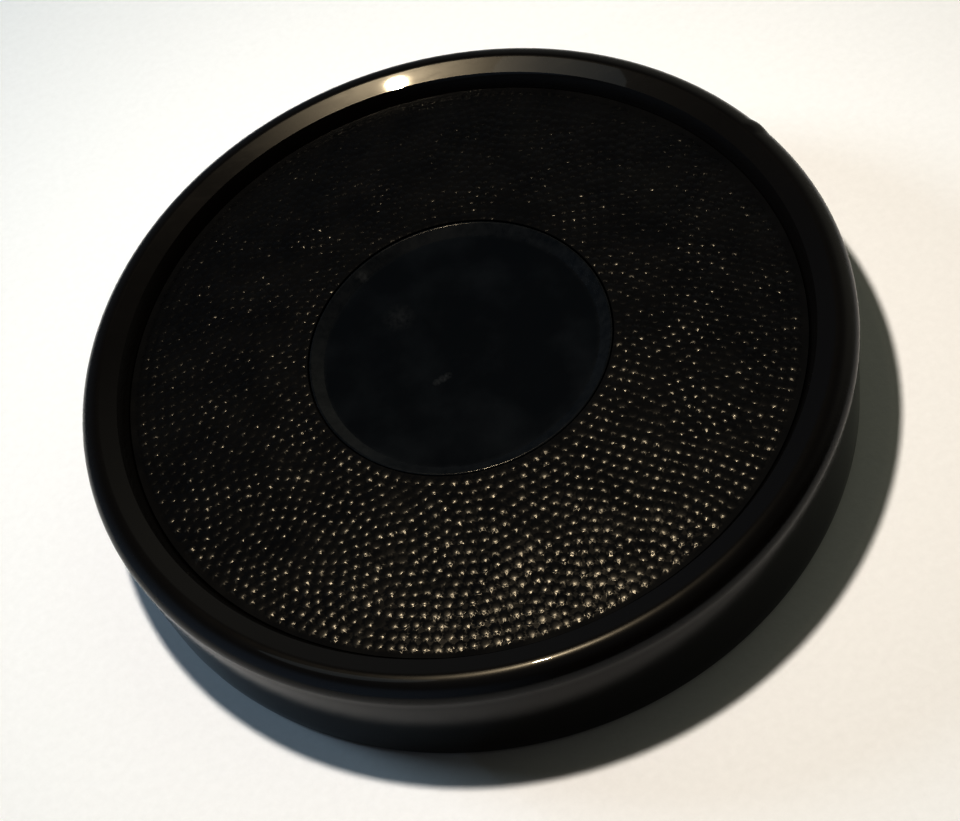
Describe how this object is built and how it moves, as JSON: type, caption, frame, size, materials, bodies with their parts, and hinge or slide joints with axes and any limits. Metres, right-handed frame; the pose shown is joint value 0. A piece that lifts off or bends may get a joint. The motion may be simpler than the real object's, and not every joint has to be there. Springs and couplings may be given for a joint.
{
  "type": "slip-on cap",
  "caption": "Round black push-on cap with a raised rim, a pebble-grained ring round a smooth dished centre, and a felt-lined skirt that grips a round barrel.",
  "frame": {"origin": "centre of the skirt's open edge, at the bottom of the cap", "axes": "+Z along the cap's axis, out of its grained face"},
  "size_m": [0.052, 0.052, 0.009],
  "materials": {
    "shell_plastic": "moulded black, glossy, finely scuffed",
    "grained_plastic": "black with a fine raised pebble grain",
    "disc_plastic": "smooth black with faint smudges",
    "felt": "short-haired black felt"
  },
  "bodies": {
    "root": {"cap_shell": "shell_plastic", "grip_ring": "grained_plastic", "centre_disc": "disc_plastic", "skirt_lining": "felt", "lens_pad": "felt"}
  },
  "joints": []
}
